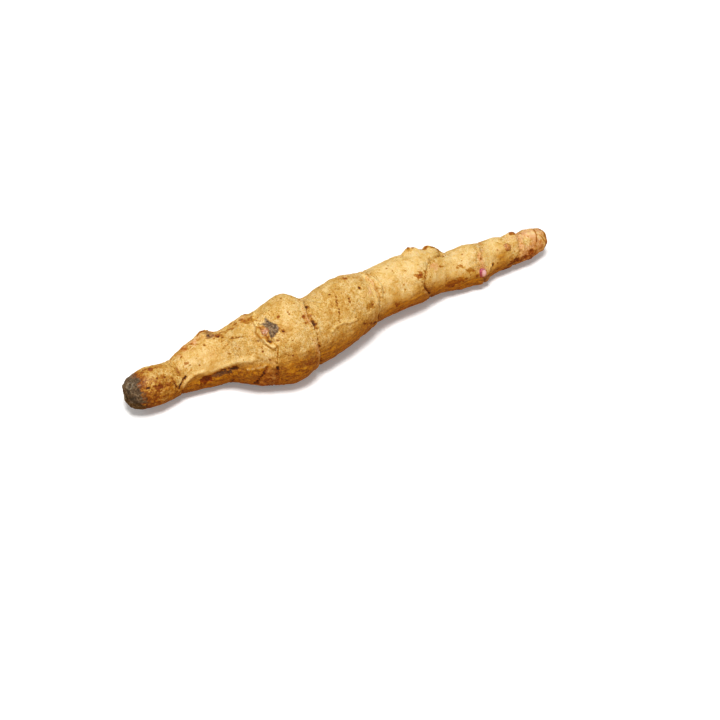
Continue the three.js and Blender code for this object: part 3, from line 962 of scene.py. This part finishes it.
def vector_sums(tree, operation, first, second):
    """The same for positions. To SCALE a position takes a plain number."""
    values = {"nth0": first, "nth3" if operation == "SCALE" else "nth1": second}
    return place_node(tree, "ShaderNodeVectorMath", {"operation": operation}, **values).outputs[0]


def noise_field(tree, place, scale, **settings):
    """A soft noise: output 0 is grey and output 1 is in colour. The scale is in lumps per mm."""
    return place_node(tree, "ShaderNodeTexNoise", Vector=place, Scale=scale, **settings).outputs


def remap(tree, value, low, high, out_low=0.0, out_high=1.0):
    """A rounded ramp from low to high."""
    options = {"interpolation_type": "SMOOTHSTEP"}
    ends = {"From_Min": low, "From_Max": high, "To_Min": out_low, "To_Max": out_high}
    return place_node(tree, "ShaderNodeMapRange", options, Value=value, **ends).outputs[0]


def mix_colours(tree, factor, under, over, blend="MIX"):
    options = {"data_type": "RGBA", "blend_type": blend}
    return place_node(tree, "ShaderNodeMix", options, nth0=factor, nth6=under, nth7=over).outputs[2]


def new_group(name, inputs, outputs):
    """A node group with named number inputs and outputs. The input called Place is a position."""
    group = bpy.data.node_groups.new(name, "ShaderNodeTree")
    for label, value in inputs.items():
        kind = "NodeSocketVector" if label == "Place" else "NodeSocketFloat"
        socket = group.interface.new_socket(name=label, in_out="INPUT", socket_type=kind)
        if value is not None:
            socket.default_value = value
    for label in outputs:
        group.interface.new_socket(name=label, in_out="OUTPUT", socket_type="NodeSocketFloat")
    return group, group.nodes.new("NodeGroupInput").outputs, group.nodes.new("NodeGroupOutput").inputs


def use_group(tree, group, **inputs):
    return place_node(tree, "ShaderNodeGroup", {"node_tree": group}, **inputs).outputs


# %% [markdown]
# ## Effects that the materials share
#
# Four effects are used by more than one material, so each is a node group with named inputs:
#
# - blotches: soft patches of one size, for mottled colour
# - speckles: small round dots of many sizes
# - ragged_stain: takes a stain from the mesh and gives it a torn edge, finer than the mesh itself
# - skin_grain: the height of the finest wrinkles and pimples, for the bump

# %% Blotches
settings = {"Place": None, "Size": 2.0, "Middle": 0.5, "Spread": 0.2}
blotches, given, result = new_group("blotches", settings, ["Amount"])
tree = blotches
scale = sums(tree, "DIVIDE", 1.0, given["Size"])
field = noise_field(tree, given["Place"], scale, Detail=4.0, Roughness=0.58, Distortion=0.4)
low = sums(tree, "SUBTRACT", given["Middle"], given["Spread"])
high = sums(tree, "ADD", given["Middle"], given["Spread"])
tree.links.new(remap(tree, field[0], low, high), result["Amount"])

# %% Speckles
speckles, given, result = new_group("speckles", {"Place": None, "Spacing": 2.0, "Share": 0.4}, ["Amount"])
tree = speckles
scale = sums(tree, "DIVIDE", 1.0, given["Spacing"])
wobble = noise_field(tree, given["Place"], sums(tree, "MULTIPLY", scale, 3.0))
nudge = vector_sums(tree, "SCALE", wobble[1], sums(tree, "DIVIDE", 0.35, scale))
nudged = vector_sums(tree, "ADD", given["Place"], nudge)
cells = place_node(tree, "ShaderNodeTexVoronoi", Vector=nudged, Scale=scale)
chance = place_node(tree, "ShaderNodeSeparateColor", nth0=cells.outputs["Color"])
size = remap(tree, chance.outputs[0], sums(tree, "SUBTRACT", 1.0, given["Share"]), 1.0, 0.0, 0.34)
dot = remap(tree, sums(tree, "SUBTRACT", size, cells.outputs["Distance"]), 0.0, 0.1)
tree.links.new(dot, result["Amount"])

# %% Ragged stains
settings = {"Place": None, "Stain": 0.0, "Tear": 0.5, "Tear Size": 0.8}
ragged_stain, given, result = new_group("ragged_stain", settings, ["Amount"])
tree = ragged_stain
scale = sums(tree, "DIVIDE", 1.0, given["Tear Size"])
field = noise_field(tree, given["Place"], scale, Detail=3.0, Roughness=0.6)
torn = sums(tree, "MULTIPLY", sums(tree, "SUBTRACT", field[0], 0.5), given["Tear"])
present = remap(tree, given["Stain"], 0.02, 0.25)
edge = sums(tree, "MULTIPLY_ADD", torn, present, given["Stain"])
tree.links.new(remap(tree, edge, 0.08, 0.92), result["Amount"])

# %% Skin grain
skin_grain, given, result = new_group("skin_grain", {"Place": None, "Size": 0.8}, ["Height"])
tree = skin_grain
squeezed = vector_sums(tree, "MULTIPLY", given["Place"], (2.2, 0.8, 0.8))
scale = sums(tree, "DIVIDE", 1.0, given["Size"])
wrinkles = noise_field(tree, squeezed, sums(tree, "MULTIPLY", scale, 0.5), Detail=4.0)
pimples = noise_field(tree, given["Place"], scale, Detail=5.0, Roughness=0.65)
pimple_part = sums(tree, "MULTIPLY", pimples[0], 0.6)
tree.links.new(sums(tree, "MULTIPLY_ADD", wrinkles[0], 0.4, pimple_part), result["Height"])

# %% [markdown]
# ## Tuber skin
#
# The skin is thin and waxy over pale flesh. Its browns are all one dye at many strengths, like tea on
# cloth: a weak stain takes away the blue, a stronger one the green too, and only the darkest is brown.
# Mixing straw colour with brown paint would give dull, greenish steps in between. So the speckles,
# blotches, rust and dirt are first added up into one depth, and the straw colour is multiplied by the
# tea's colour to the power of that depth. The painted shade underneath deepens that tone too. Gold with
# darker streaks, partly the skin's own and partly painted shade underneath and below the folds, a pink
# flush, and pale ridges, partly rubbed wax and partly painted highlights on crests, are laid on before
# the marks, and bark-brown cracks and grey cork after them.
#
# A little light goes into the flesh and comes out again, which makes the shaded side glow. Wax makes
# the sheen, and it is lost on dirt and cork.

# %% Colours of the skin
STRAW = screen(228, 199, 142)
TEA = (0.76, 0.575, 0.25, 1.0)  # how much red, green and blue light one layer of tea lets through
# The deeper gold and its darker streaks: the skin's own gold, and the painted shade underneath.
GOLD_AND_SHADE = screen(206, 144, 14)
UMBER_AND_SHADE = screen(150, 86, 4)
# Rubbed, waxy pale, also used as the painted highlight on crests.
WAX_AND_HIGHLIGHT = screen(240, 216, 156)
BLUSH = screen(224, 162, 126)
BARK = screen(62, 34, 14)
CORK_LIGHT = screen(164, 138, 106)
CORK_DARK = screen(104, 80, 55)
CORK_SHADE = screen(40, 32, 23)
CORK_PALE_AND_HIGHLIGHT = screen(164, 152, 128)


def start_material(name):
    """A new material, its tree, its main shader, and the place on the piece in mm."""
    material = bpy.data.materials.new(name)
    material.use_nodes = True
    tree = material.node_tree
    position = place_node(tree, "ShaderNodeTexCoord").outputs["Object"]
    return material, tree, tree.nodes["Principled BSDF"], vector_sums(tree, "SCALE", position, PER_METRE)


def link(tree, output, shader, socket):
    tree.links.new(output, shader.inputs[socket])


def read_stain(tree, name):
    """A number that the mesh keeps for each of its points."""
    return place_node(tree, "ShaderNodeAttribute", {"attribute_name": name}).outputs["Fac"]


# %% The tuber's skin: masks
skin_material, tree, shader, place = start_material("tuber_skin")
# (size in mm, the level of noise in their middle, how soft they are)
BLOTCHES = {
    "broad": (7.0, 0.5, 0.2),
    "patches": (2.6, 0.5, 0.16),
    "fine": (1.1, 0.53, 0.1),
    "crumbs": (0.4, 0.56, 0.1),
    "clusters": (4.5, 0.52, 0.08),
}
broad, patches, fine, crumbs, clusters = (
    use_group(tree, blotches, Place=place, Size=size, Middle=middle, Spread=spread)["Amount"]
    for size, middle, spread in BLOTCHES.values()
)
stretched = vector_sums(tree, "MULTIPLY", place, (0.22, 1.0, 1.0))
streaks = use_group(tree, blotches, Place=stretched, Size=0.8, Spread=0.12)["Amount"]
# (mm from one to the next, the share of places that have one)
SPECKLES = {"specks": (1.3, 0.3), "dots": (3.6, 0.22), "freckles": (0.8, 0.32)}
specks, dots, freckles = (
    use_group(tree, speckles, Place=place, Spacing=spacing, Share=share)["Amount"]
    for spacing, share in SPECKLES.values()
)
# Mottling is also denser in the painted shade underneath.
mottle = sums(tree, "MULTIPLY_ADD", read_stain(tree, "gold_and_shade"), 0.35, read_stain(tree, "mottle"))
specks = sums(tree, "MULTIPLY", specks, remap(tree, clusters, 0.0, 1.0, 0.3, 1.0))
freckles = sums(tree, "MULTIPLY", freckles, remap(tree, patches, 0.0, 1.0, 0.35, 1.0))
# (how torn the edge is, size of the tears in mm)
TEARS = {"gold_and_shade": (0.5, 3.0), "pale_and_highlight": (0.7, 1.0), "pink": (0.7, 2.0)}
TEARS |= {"rust": (0.9, 0.9), "brown": (0.9, 0.6), "grey": (0.8, 0.7)}


def torn_stain(tree, place, name, tear, size):
    stained = read_stain(tree, name)
    return use_group(tree, ragged_stain, Place=place, Stain=stained, Tear=tear, Tear_Size=size)["Amount"]


torn = {name: torn_stain(tree, place, name, *tears) for name, tears in TEARS.items()}


# %% The tuber's skin: colour steeped like tea
def steep(under, depth):
    """Stains a colour the way tea does: blue goes first, then green, and red lasts longest."""
    tea = place_node(tree, "ShaderNodeGamma", Color=TEA, Gamma=depth).outputs[0]
    return mix_colours(tree, 1.0, under, tea, "MULTIPLY")


# Painted shade: the gold stain underneath deepens the tone, along with broad random blotches.
shaded = sums(tree, "MULTIPLY_ADD", read_stain(tree, "gold_and_shade"), 0.7, sums(tree, "MULTIPLY", broad, 0.35))
tone = sums(tree, "MULTIPLY_ADD", patches, sums(tree, "MULTIPLY_ADD", mottle, 0.22, 0.28), shaded)
colour = steep(STRAW, remap(tree, tone, 0.15, 1.0, 0.0, 1.0))
streaked_gold_and_shade = mix_colours(tree, streaks, GOLD_AND_SHADE, UMBER_AND_SHADE)
# Layers: gold, partly painted shade; pink; pale, partly painted highlight.
for name, strength, layer in (("gold_and_shade", 0.92, streaked_gold_and_shade), ("pink", 0.65, BLUSH), ("pale_and_highlight", 0.75, WAX_AND_HIGHLIGHT)):
    colour = mix_colours(tree, sums(tree, "MULTIPLY", torn[name], strength), colour, layer)
# (mask, its depth on plain skin, how much deeper it is on mottled skin)
MARKS = [
    (fine, 0.1, 0.38),
    (crumbs, 0.3, 1.05),
    (freckles, 0.5, 2.3),
    (specks, 1.8, 1.4),
    (dots, 1.6, 1.2),
    (torn["rust"], 2.4, 0.3),
    (torn["brown"], 3.6, 0.0),
]
depth = 0.0
for mask, plain, mottled in MARKS:
    depth = sums(tree, "MULTIPLY_ADD", mask, sums(tree, "MULTIPLY_ADD", mottle, mottled, plain), depth)
colour = steep(colour, depth)
colour = mix_colours(tree, remap(tree, torn["brown"], 0.45, 1.0, 0.0, 0.85), colour, BARK)
cork_grain = remap(tree, sums(tree, "ADD", crumbs, streaks), 0.2, 1.6)
cork_tone = mix_colours(tree, cork_grain, CORK_DARK, CORK_LIGHT)
cork_tone = mix_colours(tree, sums(tree, "MULTIPLY", torn["brown"], 0.8), cork_tone, CORK_SHADE)
# Pale on the cork: worn spots, and the painted highlight on the runner's ring.
cork_tone = mix_colours(tree, torn["pale_and_highlight"], cork_tone, CORK_PALE_AND_HIGHLIGHT)
colour = mix_colours(tree, torn["grey"], colour, cork_tone)
link(tree, colour, shader, "Base Color")
print("steeping marks:", len(MARKS), " nodes in the tree:", len(tree.nodes))

# %% The tuber's skin: gloss and relief
roughness = remap(tree, fine, 0.0, 1.0, 0.4, 0.54)
roughness = sums(tree, "MULTIPLY_ADD", torn["brown"], 0.25, roughness)
roughness = sums(tree, "MULTIPLY_ADD", torn["grey"], 0.35, roughness)
link(tree, roughness, shader, "Roughness")
grain = use_group(tree, skin_grain, Place=place, Size=1.1)["Height"]
grain = sums(tree, "MULTIPLY", grain, sums(tree, "MULTIPLY_ADD", mottle, 0.8, 0.35))
grain = sums(tree, "MULTIPLY_ADD", specks, -0.12, grain)
bump = place_node(tree, "ShaderNodeBump", Strength=1.0, Distance=0.001, Height=grain)
link(tree, bump.outputs[0], shader, "Normal")
shader.inputs["Specular IOR Level"].default_value = 0.22
shader.inputs["Subsurface Weight"].default_value = 0.08
shader.inputs["Subsurface Radius"].default_value = (1.0, 0.5, 0.16)
shader.inputs["Subsurface Scale"].default_value = 0.0012
shader.inputs["Coat Weight"].default_value = 0.08
shader.inputs["Coat Roughness"].default_value = 0.3
tuber.data.materials.append(skin_material)

# %% [markdown]
# ## Bud skin
#
# The buds share the tuber's speckles and stains, but their scales are fresher: smooth, a little
# shinier, and either pink or orange-brown. The tops of the pink buds are painted near white as a
# highlight.

# %% The buds' skin
BUD_ORANGE = screen(212, 148, 62)
BUD_TOAST = screen(168, 100, 34)
BUD_BROWN = screen(112, 62, 28)
ROSE = screen(176, 70, 92)
WINE = screen(142, 44, 70)
ROSE_HIGHLIGHT = screen(236, 190, 192)
bud_material, tree, shader, place = start_material("bud_skin")
pink = read_stain(tree, "pink")
brown = torn_stain(tree, place, "brown", 0.5, 0.5)
fine = use_group(tree, blotches, Place=place, Size=0.5, Spread=0.1)["Amount"]
specks = use_group(tree, speckles, Place=place, Spacing=1.1, Share=0.25)["Amount"]
colour = mix_colours(tree, fine, BUD_ORANGE, BUD_TOAST)
colour = mix_colours(tree, pink, colour, mix_colours(tree, fine, ROSE, WINE))
# Painted highlight on the tops of pink buds.
colour = mix_colours(tree, read_stain(tree, "pale_and_highlight"), colour, ROSE_HIGHLIGHT)
colour = mix_colours(tree, sums(tree, "MULTIPLY", specks, 0.6), colour, BARK)
colour = mix_colours(tree, sums(tree, "MULTIPLY", brown, 0.8), colour, BUD_BROWN)
link(tree, colour, shader, "Base Color")
link(tree, remap(tree, fine, 0.0, 1.0, 0.34, 0.5), shader, "Roughness")
grain = use_group(tree, skin_grain, Place=place, Size=0.5)["Height"]
bump = place_node(tree, "ShaderNodeBump", Strength=0.5, Distance=0.0001, Height=grain)
link(tree, bump.outputs[0], shader, "Normal")
shader.inputs["Subsurface Weight"].default_value = 0.15
shader.inputs["Subsurface Radius"].default_value = (1.0, 0.4, 0.25)
shader.inputs["Subsurface Scale"].default_value = 0.0008
shader.inputs["Coat Weight"].default_value = 0.15
shader.inputs["Coat Roughness"].default_value = 0.25
for piece in buds:
    piece.data.materials.append(bud_material)

# %% [markdown]
# ## Floor, light and camera
#
# The table is plain and pale. The main light is a soft panel high above, a little to the front and the
# left. A weaker one shines from behind on the left, and the pale surroundings fill in the rest. The
# shaded side of a tuber also takes colour from what lies around it. So the table looks white to the
# camera, with a slight glow, and throws a warm light to everything else.

# %% Floor
FLOOR_HALF = 3.0  # metres
PALE = (0.86, 0.86, 0.855, 1.0)
PALER = (0.89, 0.89, 0.885, 1.0)
WARM_BOUNCE = (0.58, 0.34, 0.1, 1.0)
FLOOR_GLOW = 0.18
floor_mesh = bpy.data.meshes.new("floor")
floor_corners = [(FLOOR_HALF * x, FLOOR_HALF * y, 0.0) for x, y in ((-1, -1), (1, -1), (1, 1), (-1, 1))]
floor_mesh.from_pydata(floor_corners, [], [(0, 1, 2, 3)])
floor = bpy.data.objects.new("floor", floor_mesh)
bpy.context.scene.collection.objects.link(floor)
floor_material, tree, shader, place = start_material("floor_paint")
shade = use_group(tree, blotches, Place=place, Size=60.0, Spread=0.4)["Amount"]
paint = mix_colours(tree, shade, PALE, PALER)
seen = place_node(tree, "ShaderNodeLightPath").outputs["Is Camera Ray"]
link(tree, mix_colours(tree, seen, WARM_BOUNCE, paint), shader, "Base Color")
shader.inputs["Roughness"].default_value = 0.8
shader.inputs["Emission Color"].default_value = (1.0, 1.0, 1.0, 1.0)
link(tree, sums(tree, "MULTIPLY", seen, FLOOR_GLOW), shader, "Emission Strength")
floor_mesh.materials.append(floor_material)


# %% Lights
def soft_panel(name, position, size, watts):
    """A square light that faces the tuber. Its place and size are in metres."""
    light = bpy.data.lights.new(name, "AREA")
    light.shape = "SQUARE"
    light.size = size
    light.energy = watts
    panel = bpy.data.objects.new(name, light)
    panel.location = position
    panel.rotation_euler = (-Vector(position)).to_track_quat("-Z", "Y").to_euler()
    bpy.context.scene.collection.objects.link(panel)


SURROUNDINGS = (1.0, 0.96, 0.9, 1.0)
SURROUNDINGS_STRENGTH = 0.32
soft_panel("main_panel", position=(-0.13, -0.22, 0.93), size=0.32, watts=10.0)
soft_panel("side_panel", position=(-0.8, 0.5, 0.5), size=0.5, watts=1.2)
world = bpy.context.scene.world or bpy.data.worlds.new("surroundings")
bpy.context.scene.world = world
world.use_nodes = True
background = world.node_tree.nodes["Background"]
background.inputs["Color"].default_value = SURROUNDINGS
background.inputs["Strength"].default_value = SURROUNDINGS_STRENGTH
bpy.context.scene.view_settings.view_transform = "Standard"

# %% Camera
LENS = 85.0  # mm
AIM = Vector((-4.52, -10.7, 0.0)) / PER_METRE
AZIMUTH = math.radians(-31.9)
ELEVATION = math.radians(42.0)
DISTANCE = 0.544  # metres
level = math.cos(ELEVATION)
back = Vector((math.sin(AZIMUTH) * level, -math.cos(AZIMUTH) * level, math.sin(ELEVATION)))
lens = bpy.data.cameras.new("camera")
lens.lens = LENS
camera = bpy.data.objects.new("camera", lens)
camera.location = AIM + back * DISTANCE
camera.rotation_euler = back.to_track_quat("Z", "Y").to_euler()
bpy.context.scene.collection.objects.link(camera)
bpy.context.scene.camera = camera
print("camera at, mm:", [round(place * PER_METRE) for place in camera.location])

# %% [markdown]
# ## Hand the pieces over
#
# Every piece rides on the part's one body and stands for the tuber's plain solid.

# %% Ride, replace and finish
for piece in (tuber, *buds):
    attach(piece, BODY)
    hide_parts(NODE)
